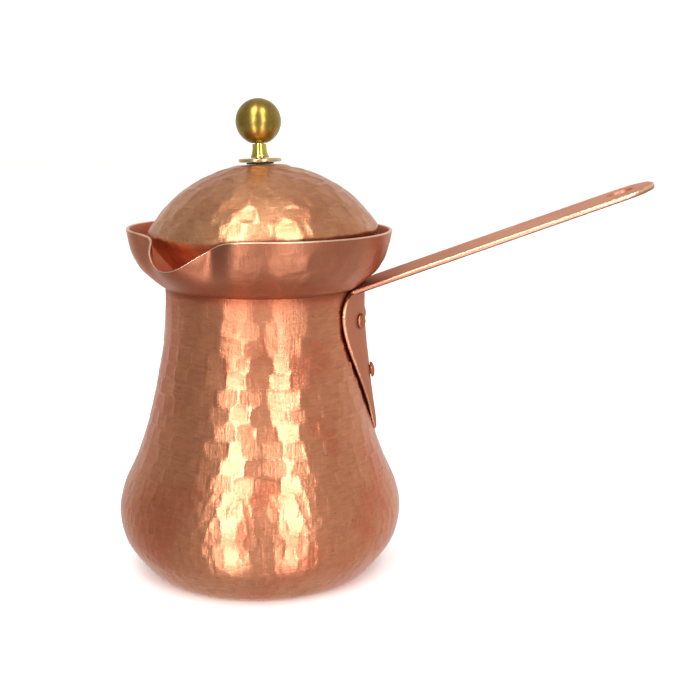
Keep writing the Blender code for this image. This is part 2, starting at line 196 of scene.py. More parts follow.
def ring_angles(count, start=0.0):
    return start + 2 * np.pi * np.arange(count) / count


def lathe(profile, angles):
    """Grid of points (rows, columns, 3) from a (radius, height) profile."""
    r = profile[:, 0][:, None]
    z = np.broadcast_to(profile[:, 1][:, None], (len(profile), len(angles)))
    return np.stack([r * np.cos(angles), r * np.sin(angles), z], axis=2)


def grid_normals(grid):
    """Unit normals of a grid whose columns close into a ring, pointing outward for a rising profile."""
    around = np.roll(grid, -1, axis=1) - np.roll(grid, 1, axis=1)
    along = np.gradient(grid, axis=0)
    normals = np.cross(around, along)
    return normals / np.maximum(np.linalg.norm(normals, axis=2, keepdims=True), 1e-9)


def shape_lip(r, z, angle):
    """Bends rows of the collar for the pouring lip."""
    rise = (z - CREASE_Z) / (RIM_Z - CREASE_Z)
    above = rise > 0
    rise = np.clip(rise, 0, None)
    off = np.remainder(angle - SPOUT_AZIMUTH + np.pi, 2 * np.pi) - np.pi
    half_angle = np.where(off > 0, SPOUT_HALF_ANGLES[1], SPOUT_HALF_ANGLES[0])
    dip = np.exp(-np.abs(off / half_angle) ** SPOUT_SHAPE)
    pinch = np.exp(-((np.abs(off) - PINCH_ANGLE) / PINCH_WIDTH) ** 2)
    straight = CREASE_R + (RIM_R - CREASE_R) * rise
    bent_r = r + (straight - r) * SPOUT_STRAIGHTEN * dip
    bent_r = bent_r + (SPOUT_FLARE * dip ** 2 - PINCH_DEPTH * pinch) * rise ** 1.5
    bent_z = z - (SPOUT_DIP * dip + RIM_SAG * np.maximum(-np.sin(angle), 0) * (1 - dip)) * rise
    return np.where(above, bent_r, r), np.where(above, bent_z, z)


def lipped(profile, angles):
    """Grid from a profile of the pot, with the pouring lip pressed in."""
    r, z = shape_lip(profile[:, 0][:, None], profile[:, 1][:, None], angles[None, :])
    return np.stack([r * np.cos(angles), r * np.sin(angles), z], axis=2)


# ---------------------------------------------------------------- hammering

def radius_along(run, radii):
    """The radius at a run along a profile, as a function of the run."""
    return lambda at: float(np.interp(at, run, radii))


def blow_rows(rng, radius_at, low, high, pitch, half_w, half_h, flat, extra, lean, corner, soft,
              jitter=0.18):
    """Hammer blows in rows round a turned body, from a low to a high run along its profile.

    flat: how much of the curve each blow takes out; extra: depth beyond that; lean: spread of tilts;
    corner: squareness of the footprint; soft: width of its edge; jitter: spread of places in a row.
    """
    blows = []
    for at in np.arange(low, high, pitch):
        radius = radius_at(at)
        count = max(int(round(2 * np.pi * radius / (1.8 * half_w))), 6)
        phase = rng.random()
        for i in range(count):
            blows.append({
                "angle": 2 * np.pi * (i + phase + rng.normal(0, jitter)) / count,
                "at": at + rng.normal(0, jitter * 0.6) * pitch,
                "radius": radius,
                "half_w": half_w * rng.uniform(0.85, 1.3),
                "half_h": half_h * rng.uniform(0.9, 1.12),
                "depth": extra * rng.uniform(0.5, 1.4),
                "flat": flat,
                "lean_u": rng.normal(0, lean * 0.7),
                "lean_v": rng.normal(0, lean * 0.7),
                "corner": corner,
                "soft": soft,
            })
    return blows


def hammered(run, radii, angles, blows):
    """Depth of the beaten skin: each blow flattens its footprint over the blows before it."""
    depth = np.zeros((len(run), len(angles)))
    step = angles[1] - angles[0]
    for b in blows:
        reach_v = b["half_h"] * (1 + b["soft"])
        low, high = np.searchsorted(run, [b["at"] - reach_v, b["at"] + reach_v])
        if high <= low:
            continue
        reach_c = int(b["half_w"] * (1 + b["soft"]) / (b["radius"] * step)) + 1
        middle = int(round((b["angle"] - angles[0]) / step))
        cols = np.arange(middle - reach_c, middle + reach_c + 1) % len(angles)
        turn = np.remainder(angles[cols] - b["angle"] + np.pi, 2 * np.pi) - np.pi
        u = turn[None, :] * radii[low:high, None]
        v = (run[low:high] - b["at"])[:, None]
        reach = (np.abs(u / b["half_w"]) ** b["corner"] + np.abs(v / b["half_h"]) ** b["corner"])
        reach = reach ** (1 / b["corner"])
        weight = np.clip((1 + b["soft"] - reach) / (2 * b["soft"]), 0, 1)
        weight = weight * weight * (3 - 2 * weight)
        chord = (b["half_w"] ** 2 - u ** 2) / (2 * b["radius"]) * b["flat"]
        bowl = b["depth"] * (1.5 - np.minimum(reach, 1.2) ** 2)
        dish = chord + bowl + b["lean_u"] * u + b["lean_v"] * v
        patch = depth[low:high, cols]
        depth[low:high, cols] = patch + (np.maximum(dish, 0) - patch) * weight
    return depth


def ridge_of(depth):
    """How far each point of a beaten skin stands above its neighbours, from 0 to 1."""
    near = (np.roll(depth, 1, 1) + np.roll(depth, -1, 1)) / 2
    padded = np.pad(depth, ((1, 1), (0, 0)), mode="edge")
    above = (padded[2:] + padded[:-2]) / 2
    stand = (near + above) / 2 - depth
    return np.clip(stand / 0.02, -1, 1) * 0.5 + 0.5


# ---------------------------------------------------------------- meshes

def stitch(faces, low, high):
    """Faces between two rings of vertex numbers, where one count divides the other."""
    if len(low) == len(high):
        nxt_low, nxt_high = np.roll(low, -1), np.roll(high, -1)
        faces.extend(np.column_stack([low, nxt_low, nxt_high, high]).tolist())
        return
    if len(low) == 1 or len(high) == 1:
        ring, tip = (high, low[0]) if len(low) == 1 else (low, high[0])
        for a, b in zip(ring, np.roll(ring, -1)):
            faces.append([tip, b, a] if len(low) == 1 else [a, b, tip])
        return
    flip = len(low) < len(high)
    fine, coarse = (high, low) if flip else (low, high)
    ratio = len(fine) // len(coarse)
    for i in range(len(coarse)):
        here, there = coarse[i], coarse[(i + 1) % len(coarse)]
        part = [fine[(i * ratio + j) % len(fine)] for j in range(ratio + 1)]
        fan = part + [there, here]
        faces.append(fan[::-1] if flip else fan)


def solid(name, rings, material, body, stands_for, ridge=None, sharp=60, inside=None):
    """Closed piece through rings of points in millimetres; a ring may hold one point.

    ridge and inside are attributes that the materials read, given for the first points of the piece.
    """
    points = np.vstack([np.asarray(ring, float).reshape(-1, 3) for ring in rings])
    numbers = []
    first = 0
    for ring in rings:
        count = len(np.asarray(ring).reshape(-1, 3))
        numbers.append(np.arange(first, first + count))
        first += count
    faces = []
    for low, high in zip(numbers, numbers[1:]):
        stitch(faces, low, high)
    if len(numbers[0]) > 1:
        stitch(faces, numbers[-1], numbers[0])
    layers = {"ridge": (ridge, PLAIN_RIDGE), "inside": (inside, 0.0)}
    return piece(name, points, faces, material, body, stands_for, layers, sharp)


def linked(name, data):
    """A new object in the scene."""
    made = bpy.data.objects.new(name, data)
    bpy.context.scene.collection.objects.link(made)
    return made


def piece(name, points, faces, material, body, stands_for, layers, sharp):
    mesh = bpy.data.meshes.new(name)
    mesh.from_pydata((points * MM).tolist(), [], [list(map(int, face)) for face in faces])
    mesh.validate()
    mesh.shade_smooth()
    mesh.set_sharp_from_angle(angle=math.radians(sharp))
    mesh.materials.append(material)
    for key, (given, plain) in layers.items():
        layer = mesh.attributes.new(key, "FLOAT", "POINT")
        values = np.full(len(mesh.vertices), plain, np.float32)
        if given is not None:
            values[:len(given)] = given
        layer.data.foreach_set("value", values)
    item = linked(name, mesh)
    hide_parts(stands_for)
    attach(item, body)
    return item


def lid_frame():
    return Matrix.Translation((SEAT_X, 0, SEAT_Z)) @ Matrix.Rotation(LID_TILT, 4, "Y")


def on_lid(rings):
    """Rings carried from the lid's own frame to its place on the pot."""
    return [moved(ring, lid_frame()) for ring in rings]


def moved(grid, matrix):
    """Points of a grid carried by a 4x4 matrix."""
    grid = np.asarray(grid, float)
    turn = np.array(matrix.to_3x3())
    return grid @ turn.T + np.array(matrix.translation)


# ---------------------------------------------------------------- pot

def pot_blows(run, radii):
    rng = np.random.default_rng(POT_SEED)
    at = radius_along(run, radii)
    base = blow_rows(rng, at, 3.0, 23.0, pitch=3.3, half_w=1.95, half_h=2.2, flat=0.9, extra=0.05,
                     lean=0.018, corner=2.4, soft=0.2)
    belly = blow_rows(rng, at, 23.0, 50.0, pitch=4.5, half_w=2.1, half_h=3.3, flat=0.9, extra=0.045,
                      lean=0.016, corner=2.7, soft=0.2)
    waist = blow_rows(rng, at, 49.0, 93.0, pitch=5.6, half_w=3.9, half_h=3.0, flat=0.7, extra=0.035,
                      lean=0.02, corner=4.0, soft=0.16, jitter=0.12)
    neck = blow_rows(rng, at, 94.0, 105.0, pitch=5.2, half_w=4.2, half_h=2.9, flat=0.6, extra=0.02,
                     lean=0.02, corner=3.0, soft=0.4)
    collar = blow_rows(rng, at, 115.5, 130.0, pitch=5.4, half_w=4.6, half_h=3.0, flat=0.7, extra=0.015,
                       lean=0.035, corner=3.5, soft=0.35)
    return base + belly + waist + neck + collar


def pot_depth(outer, angles):
    """Depth of the pot's hammer marks, none at the base's edge, the rim and the pouring lip."""
    run = run_of(outer)
    depth = hammered(run, outer[:, 0], angles, pot_blows(run, outer[:, 0]))
    fade = np.clip((run[-1] - run) / RIM_FADE, 0, 1) * np.clip(run / BASE_FADE, 0, 1)
    off = np.remainder(angles - SPOUT_AZIMUTH + np.pi, 2 * np.pi) - np.pi
    smooth_lip = np.exp(-(off / SPOUT_SMOOTH_ANGLE) ** 4)[None, :] * (outer[:, 1] > CREASE_Z)[:, None]
    return depth * (fade[:, None] * (1 - smooth_lip))


def rim_bead(outer_end, inner_end):
    """Half-round edge of the sheet, from its outer to its inner side."""
    middle = (outer_end + inner_end) / 2
    half = (outer_end - inner_end) / 2
    up = np.array([half[1], -half[0]])
    up = up if up[1] > 0 else -up
    turns = np.radians(np.linspace(0, 180, 9))[1:-1]
    return middle + np.outer(np.cos(turns), half) + np.outer(np.sin(turns), up * LIP_HEIGHT)


def build_pot(material):
    angles = ring_angles(POT_COLUMNS, SPOUT_AZIMUTH)
    body_curve = curve_through(FOOT + WAIST + [(CREASE_R, CREASE_Z)])
    collar_curve = curve_through([(CREASE_R, CREASE_Z)] + COLLAR + [(RIM_R, RIM_Z - WALL / 2)])
    collar = even_steps(collar_curve, ROW_STEP)
    outer = np.vstack([even_steps(body_curve, ROW_STEP), collar[1:]])
    depth = pot_depth(outer, angles)
    skin = lipped(outer, angles)
    skin -= grid_normals(skin) * depth[:, :, None]

    inside_collar = offset_curve(collar, WALL)[::-1]
    lip = lipped(rim_bead(outer[-1], inside_collar[0]), angles)

    inner_angles = angles[::2]
    inside_body = offset_curve(even_steps(body_curve, INSIDE_STEP), WALL)[::-1]
    inside_body = inside_body[inside_body[:, 1] > WALL + 0.4]
    lining = np.vstack([inside_collar, inside_body[1:]])
    near_lip = lipped(lining[:6], angles)
    rest = lipped(lining[6:], inner_angles)
    floor = [(BASE_FLAT_R - r, WALL) for r in (1.0, 8.0, 16.0, 24.0)]
    under = [(r, 0.0) for r in (10.0, 20.0, 30.0)]

    rings = [[(0, 0, 0)]]
    rings += list(lathe(np.array(under), inner_angles))
    rings += list(skin) + list(lip) + list(near_lip) + list(rest)
    rings += list(lathe(np.array(floor), inner_angles))
    rings.append([(0, 0, WALL)])
    under_count = 1 + len(under) * len(inner_angles)
    lip_count = len(lip) * len(angles)
    ridge = np.concatenate([np.full(under_count, PLAIN_RIDGE), ridge_of(depth).ravel(),
                            np.full(lip_count, RIM_RIDGE)])
    wall_count = len(near_lip) * len(angles) + len(rest) * len(inner_angles)
    # The inner walls are marked for the inner tone: painted bounce light, with painted shade near the rim.
    inside = np.concatenate([np.zeros(len(ridge)), np.ones(wall_count)])
    return solid("pot_vessel", rings, material, "pot", "pot_body", ridge, inside=inside)


# ---------------------------------------------------------------- handle

def height_curve(points):
    """A curve as (heights, first coordinates) that rise, for np.interp."""
    curve = curve_through(points)
    curve = curve[curve[:, 1].argsort()]
    return curve[:, 1], curve[:, 0]


NECK = height_curve(FOOT + WAIST + [(CREASE_R, CREASE_Z)])
PLATE = height_curve(PLATE_FACE)
LEAF_EDGE = height_curve(LEAF)


def plate_point(across, z):
    """Points of the plate's neck side, for across from -1 to 1 over the leaf's width at each height."""
    sink = TIP_SINK * np.clip((TIP_SINK_Z - z) / (TIP_SINK_Z - LEAF[0][1]), 0, 1)
    middle = np.interp(z, *PLATE) - sink
    width = np.maximum(np.interp(z, *LEAF_EDGE), LEAF_LEAST_HALF_W)
    edge = np.sqrt((np.interp(z, *NECK) + EDGE_GAP - sink) ** 2 - width ** 2)
    across, z = np.broadcast_arrays(across, z)
    return np.stack([middle - (middle - edge) * across ** 2, width * across, z], axis=-1)


def handle_stations(plate_steps=96, bend_steps=20, strap_steps=150, end_steps=24):
    """How far along each part of the handle its stations lie: plate and bend from 0 to 1, strap in mm."""
    reach = BEND_R * math.tan((math.pi / 2 - STRAP_RISE) / 2)
    middle_start = float(np.interp(CREASE_Z, *PLATE)) + reach * math.cos(STRAP_RISE)
    end_run = (STRAP_END_X - middle_start) / math.cos(STRAP_RISE)
    straight = end_run - STRAP_HALF_W
    plate = (np.arange(plate_steps) / plate_steps)[:, None]
    bend = (np.arange(bend_steps + 1) / bend_steps)[:, None]
    turn = np.pi / 2 * np.arange(1, end_steps + 1) / end_steps
    strap = np.concatenate([np.linspace(0, straight, strap_steps + 1)[1:],
                            straight + STRAP_HALF_W * np.sin(turn)])[:, None]
    return plate, bend, strap, reach, middle_start, end_run


def strap_width(strap, end_run):
    """Half width of the flat strap at each run along it, with its round end."""
    round_off = np.maximum(STRAP_HALF_W - (end_run - strap), 0)
    width = np.sqrt(np.maximum(STRAP_HALF_W ** 2 - round_off ** 2, 0.04))
    return width - (STRAP_HALF_W - np.interp(CREASE_Z, *LEAF_EDGE)) * np.maximum(1 - strap / WIDEN, 0)


def handle_face(across):
    """Neck side of the handle: a point for each station (row) and place across its width."""
    plate, bend, strap, reach, middle_start, end_run = handle_stations()
    first, second = len(plate), len(plate) + len(bend)
    along = np.array([math.cos(STRAP_RISE), 0, math.sin(STRAP_RISE)])
    fold = plate_point(across, np.full(across.shape, CREASE_Z))
    fold[..., 2] = STRAP_FROM[1] + (fold[..., 0] - STRAP_FROM[0]) * math.tan(STRAP_RISE)
    top = fold[..., 2] - reach
    low = LEAF[0][1]
    sheet = plate_point(across[:first], low + (top[:first] - low) * plate)
    corner = fold[first:second]
    start, finish = plate_point(across[first:second], top[first:second]), corner + along * reach
    t = bend[..., None]
    curve = start * (1 - t) ** 2 + 2 * corner * t * (1 - t) + finish * t ** 2
    began = (fold + along * reach)[second:, :, 0]
    x = middle_start + strap * along[0] + np.maximum(1 - strap / SQUARE_UP, 0) * (began - middle_start)
    z = STRAP_FROM[1] + (x - STRAP_FROM[0]) * math.tan(STRAP_RISE)
    flat = np.stack([x, strap_width(strap, end_run) * across[second:], z], axis=-1)
    return np.concatenate([sheet, curve, flat])


def handle_sizes():
    """Half width and thickness of the handle's sheet at each station, and the length run to it."""
    plate, bend, strap, _, _, end_run = handle_stations()
    middle = handle_face(np.zeros((len(plate) + len(bend) + len(strap), 1)))[:, 0]
    steps = np.linalg.norm(np.diff(middle, axis=0), axis=1)
    run = np.concatenate([[0.0], np.cumsum(steps)])
    z = middle[:len(plate), 2]
    leaf = np.maximum(np.interp(z, *LEAF_EDGE), LEAF_LEAST_HALF_W)
    fold = np.full(len(bend), np.interp(CREASE_Z, *LEAF_EDGE))
    width = np.concatenate([leaf, fold, strap_width(strap, end_run)[:, 0]])
    thin = np.clip((LEAF_THIN_Z - z) / (LEAF_THIN_Z - LEAF[0][1]), 0, 1)
    grow = np.linspace(0, 1, len(bend))
    thickness = np.concatenate([PLATE_T + (LEAF_TIP_T - PLATE_T) * thin,
                                PLATE_T + (STRAP_T - PLATE_T) * grow,
                                np.full(len(strap), STRAP_T)])
    return width, thickness, run


def section(width, thickness, columns=36, corner=5):
    """Rounded bar section as (across, height) points, anticlockwise from the neck side."""
    ease = min(0.42 * thickness, 0.7 * width)
    flat = np.linspace(-(width - ease), width - ease, columns + 1)
    quarter = np.radians(np.linspace(0, 90, corner + 1))[1:-1]
    sin, cos = np.sin(quarter), np.cos(quarter)
    low = [(u, 0.0) for u in flat]
    low_right = [(width - ease + ease * s, ease - ease * c) for s, c in zip(sin, cos)]
    right = [(width, ease), (width, thickness - ease)]
    top_right = [(width - ease + ease * c, thickness - ease + ease * s) for s, c in zip(sin, cos)]
    top = [(u, thickness) for u in flat[::-1]]
    mirror = [(-u, h) for u, h in (low_right + right + top_right)[::-1]]
    return np.array(low + low_right + right + top_right + top + mirror)


def strap_dents(rng, run, across, count, size, depth, band=None):
    """Shallow dents scattered over the strap, as a depth for each point of each section."""
    out = np.zeros(across.shape)
    for _ in range(count):
        at = rng.uniform(run[0], run[-1])
        place = rng.uniform(-1, 1) * STRAP_HALF_W
        if band is not None:
            place = math.copysign(STRAP_HALF_W - rng.uniform(0, band), place)
        w = size * rng.uniform(0.7, 1.3)
        rows = np.nonzero(np.abs(run - at) < 1.5 * w)[0]
        apart = ((run[rows, None] - at) / w) ** 2 + ((across[rows] - place) / w) ** 2
        out[rows] = np.maximum(out[rows], depth * rng.uniform(0.5, 1.2) * np.clip(1 - apart, 0, 1))
    return out


def handle_normals(across):
    """Unit normals of the handle's neck side, pointing away from the neck."""
    over = handle_face(across + NUDGE) - handle_face(across - NUDGE)
    normals = np.cross(over, np.gradient(handle_face(across), axis=0))
    return normals / np.linalg.norm(normals, axis=2, keepdims=True)


def handle_masks(lateral, lean, width, thickness, dents):
    """The strap's "ridge" attribute, dark in dents and with a painted shadow along the seams and the
    strap's lower edge, and "inside", which marks the worn edges that also carry a painted highlight.
    """
    on_plate = (np.arange(len(width)) < len(handle_stations()[0]))[:, None]
    # Painted shadow along the plate's edges on the neck and along the strap's lower edge.
    seam_shadow = on_plate & (lean < -0.1) & (np.abs(lateral) > width[:, None] - thickness[:, None])
    low_edge_shadow = ~on_plate & (lean > 0.5) & (lean < 0.999)
    ridge = np.where(seam_shadow | low_edge_shadow, PAINTED_SHADOW_RIDGE, np.clip(0.62 - dents * 9, 0, 1))
    side = np.where(on_plate, lean > 0.1, lean < 0.1)
    # worn: the rounded edges that get a pale burnished tone, also a painted highlight.
    worn = (np.abs(lean) < 0.99) & side
    return np.concatenate([[PLAIN_RIDGE], ridge.ravel()]), np.concatenate([[0.0], worn.ravel()])


def build_handle(material):
    rng = np.random.default_rng(HANDLE_SEED)
    width, thickness, run = handle_sizes()
    sections = np.array([section(w, t) for w, t in zip(width, thickness)])
    lateral, height = sections[..., 0], sections[..., 1]
    across = lateral / width[:, None]
    normals = handle_normals(across)

    broad = strap_dents(rng, run, lateral, count=520, size=3.0, depth=0.08)
    fine = strap_dents(rng, run, lateral, count=2600, size=0.8, depth=0.11, band=2.0)
    dents = np.maximum(broad, fine)
    half = thickness[:, None] / 2
    lean = np.clip(height / half - 1, -1, 1)
    ends = np.minimum(run, run[-1] - run) / TIP_ROUND
    swell = np.sqrt(1 - (1 - np.clip(ends, 0.02, 1)) ** 2)[:, None]
    height = half + (height - dents * lean - half) * swell
    drawn = across * (1 - 0.9 * dents * (1 - np.abs(lean)) / np.maximum(width, 1.0)[:, None])
    rings = list(handle_face(drawn) + normals * height[..., None])
    rings = [rings[0].mean(axis=0)[None]] + rings + [rings[-1].mean(axis=0)[None]]
    ridge, worn = handle_masks(lateral, lean, width, thickness, dents)
    strap = solid("handle_strap", rings, material, "pot", "handle", ridge, 40, worn)
    pierce(strap)
    return strap


def hole_cutter(reach=6.0, columns=64):
    """Cylinder through the strap where the hanging hole goes."""
    x = STRAP_END_X - HANG_HOLE_INSET * math.cos(STRAP_RISE)
    z = STRAP_FROM[1] + (x - STRAP_FROM[0]) * math.tan(STRAP_RISE)
    turn = Matrix.Translation((x, 0, z)) @ Matrix.Rotation(-STRAP_RISE, 4, "Y")
    wall = lathe(np.array([(HANG_HOLE_R, -reach), (HANG_HOLE_R, reach)]), ring_angles(columns))
    rings = [np.array([[0, 0, -reach]])] + list(wall) + [np.array([[0, 0, reach]])]
    points = np.vstack([moved(ring, turn) for ring in rings])
    ends = np.cumsum([0] + [len(ring) for ring in rings])
    numbers = [np.arange(first, last) for first, last in zip(ends, ends[1:])]
    faces = []
    for low, high in zip(numbers, numbers[1:]):
        stitch(faces, low, high)
    mesh = bpy.data.meshes.new("hole")
    mesh.from_pydata((points * MM).tolist(), [], [list(map(int, face)) for face in faces])
    return mesh


def pierce(strap):
    """Cuts the hanging hole near the strap's round end."""
    mesh = hole_cutter()
    mesh.materials.append(strap.data.materials[0])
    cutter = linked("hole", mesh)
    cut = strap.modifiers.new("hole", "BOOLEAN")
    cut.operation = "DIFFERENCE"
    cut.solver = "EXACT"
    cut.object = cutter
    graph = bpy.context.evaluated_depsgraph_get()
    done = bpy.data.meshes.new_from_object(strap.evaluated_get(graph))
    strap.modifiers.clear()
    strap.data = done
    done.set_sharp_from_angle(angle=math.radians(40))
    bpy.data.objects.remove(cutter)


# ---------------------------------------------------------------- rivets

def rivet_frame(side, z):
    """Place of a rivet: origin on the plate's neck side, local Z along the plate's outward normal."""
    across = side / np.interp(z, *LEAF_EDGE)
    point = plate_point(across, z)
    over = plate_point(across + NUDGE, z) - plate_point(across - NUDGE, z)
    up = plate_point(across, z + NUDGE) - plate_point(across, z - NUDGE)
    outward = Vector(np.cross(over, up)).normalized()
    return Matrix.Translation(Vector(point)) @ outward.to_track_quat("Z", "Y").to_matrix().to_4x4()


def air_behind(frame_matrix):
    """Distance from the plate to the neck's outer skin, back along the rivet's axis."""
    back = -np.array(frame_matrix.to_3x3() @ Vector((0, 0, 1)))
    distances = np.linspace(0, 6, 241)
    points = np.array(frame_matrix.translation) + distances[:, None] * back
    outside = np.hypot(points[:, 0], points[:, 1]) > np.interp(points[:, 2], *NECK)
    return float(distances[np.argmin(outside)])


def cap_profile(radius, base, height, steps=9):
    turn = np.linspace(0, np.pi / 2, steps + 1)[:-1]
    return np.column_stack([radius * np.cos(turn), base + height * np.sin(turn)])


def build_rivet(name, place, seed, material):
    rng = np.random.default_rng(seed)
    matrix = rivet_frame(*place)
    head_base = PLATE_T + RIVET_GAP
    tail_base = -air_behind(matrix) - WALL - RIVET_TAIL_GAP
    angles = ring_angles(48)
    tail = cap_profile(RIVET_TAIL_R, 0.0, RIVET_TAIL_H, 5)
    tail = np.column_stack([tail[:, 0], tail_base - tail[:, 1]])[::-1]
    shank = [(RIVET_SHANK_R, tail_base), (RIVET_SHANK_R, head_base)]
    under = [(RIVET_HEAD_R - 0.25, head_base), (RIVET_HEAD_R, head_base + 0.25)]
    crown = cap_profile(RIVET_HEAD_R, head_base + 0.25, RIVET_HEAD_H - 0.25)[1:]
    profile = np.vstack([tail, shank, under, crown])
    grid = lathe(profile, angles)
    count = len(crown) + 1
    run = run_of(profile)
    blows = blow_rows(rng, lambda at: RIVET_BLOW_R, run[-count], run[-1] + 1.0, pitch=1.0, half_w=0.7,
                      half_h=0.8, flat=0.5, extra=0.03, lean=0.05, corner=2.2, soft=0.35)
    depth = hammered(run, np.maximum(profile[:, 0], 0.3), angles, blows)
    depth[:-count] = 0
    grid -= grid_normals(grid) * np.clip(depth, 0, 0.09)[:, :, None]
    rings = [moved([[0, 0, tail_base - RIVET_TAIL_H]], matrix)] + [moved(ring, matrix) for ring in grid]
    rings.append(moved([[0, 0, head_base + RIVET_HEAD_H - 0.03]], matrix))
    return solid(name + "_head", rings, material, "pot", name, None, 50)


# ---------------------------------------------------------------- lid

def sphere_arc(radius, z_low, z_high, spacing):
    low = math.asin((z_low - DOME_CENTRE_Z) / radius)
    high = math.asin(min((z_high - DOME_CENTRE_Z) / radius, 1))
    steps = max(int(round(radius * abs(high - low) / spacing)), 1)
    turn = np.linspace(low, high, steps + 1)
    return np.column_stack([radius * np.cos(turn), DOME_CENTRE_Z + radius * np.sin(turn)])


def lid_profile():
    """Outer side of the lid's one sheet, from the plug up to the seat under the knob."""
    plug = np.array([(PLUG_R, PLUG_BOTTOM_Z), (PLUG_R, PLUG_BOTTOM_Z / 2)])
    bead = arc((0, 0), 1.0, -90, 90, 18) * (BEAD_R, BEAD_HALF_H) + (BEAD_CENTRE_R, 0)
    dome = sphere_arc(DOME_SPHERE_R, DOME_START_Z, DOME_LAND_Z, LID_STEP)
    flare = even_steps(curve_through(FLARE + [tuple(dome[0])]), LID_STEP)
    return plug, bead, flare, dome


def lid_blows(run, radii, dome_run):
    rng = np.random.default_rng(LID_SEED)
    at = radius_along(run, radii)
    shoulder = blow_rows(rng, at, dome_run - 7.5, dome_run + 1.0, pitch=6.0, half_w=2.6, half_h=4.6,
                         flat=0.9, extra=0.02, lean=0.03, corner=3.0, soft=0.35)
    low = blow_rows(rng, at, dome_run + 2.5, dome_run + 10.0, pitch=5.4, half_w=4.6, half_h=3.2,
                    flat=0.75, extra=0.02, lean=0.026, corner=3.5, soft=0.3)
    high = blow_rows(rng, at, dome_run + 13.0, dome_run + 34.0, pitch=5.0, half_w=4.2, half_h=3.0,
                     flat=0.75, extra=0.02, lean=0.022, corner=3.5, soft=0.34)
    return shoulder + low + high


def build_lid(material):
    angles = ring_angles(LID_COLUMNS)
    plug, bead, flare, dome = lid_profile()
    outer = np.vstack([plug, bead, flare[1:], dome[1:]])
    run = run_of(outer)
    depth = hammered(run, outer[:, 0], angles, lid_blows(run, outer[:, 0], run[-len(dome)]))
    depth *= np.clip((run[-1] - run) / 2.0, 0, 1)[:, None]
    grid = lathe(outer, angles)
    grid -= grid_normals(grid) * depth[:, :, None]
    coarse = np.vstack([plug, bead[::6], flare[3::3], dome[3::3]])
    inner = offset_curve(coarse, LID_SHEET)[:-2]
    land = np.array([(DISC_R - 1.0, DOME_LAND_Z), (BORE_R, DOME_LAND_Z), (BORE_R, DOME_LAND_Z - LID_SHEET)])
    inner_angles = angles[::4]
    rings = list(grid) + list(lathe(land, inner_angles)) + list(lathe(inner[::-1], inner_angles))
    # The lid's lower part, inside the pot, takes the brighter inner tone: painted bounce light.
    below = np.clip((14.5 - outer[:, 1]) / 3.0, 0, 1)
    inside = np.repeat(below, LID_COLUMNS)
    return solid("lid_raised_shell", on_lid(rings), material, "lid", "lid_shell",
                 ridge_of(depth).ravel(), 50, inside)


def build_ball(material):
    start = math.degrees(math.asin((BALL_SEAT_Z - BALL_Z) / BALL_R))
    sphere = arc((0, BALL_Z), BALL_R, start, 90, 48)[:-1]
    bore = np.array([(BORE_R, BALL_BORE_TOP_Z), (BORE_R, BALL_SEAT_Z)])
    profile = np.vstack([bore, sphere])
    rings = [[(0, 0, BALL_BORE_TOP_Z)]] + list(lathe(profile, ring_angles(96)))
    rings.append([(0, 0, BALL_Z + BALL_R)])
    return solid("knob_globe", on_lid(rings), material, "lid", "knob_ball", None, 40)


def build_stem(material):
    low, high = STEM_Z, STEM_Z + STEM_H
    sides = curve_through([(STEM_FOOT_R, low + 0.35), (2.75, low + 1.3), (STEM_R + 0.05, low + 3.0),
                           (STEM_R, high)], 10)
    loop = np.vstack([[(BORE_R, low), (STEM_FOOT_R - 0.2, low), (STEM_FOOT_R - 0.05, low + 0.1)],
                      sides, [(BORE_R, high)]])
    rings = on_lid(lathe(loop, ring_angles(64)))
    return solid("knob_neck", rings, material, "lid", "knob_stem", None, 50)


def build_disc(material):
    low, high = DISC_Z, DISC_Z + DISC_H
    edge = 0.35
    rim = np.vstack([arc((DISC_R - edge, low + edge), edge, -90, 0, 4),
                     arc((DISC_R - edge, high - edge), edge, 0, 90, 4)])
    loop = np.vstack([[(BORE_R, low)], rim, [(BORE_R + 2.2, high - 0.05), (BORE_R, high - 0.05)]])
    rings = on_lid(lathe(loop, ring_angles(96)))
    return solid("knob_flange", rings, material, "lid", "knob_disc", None, 50)


# ---------------------------------------------------------------- materials

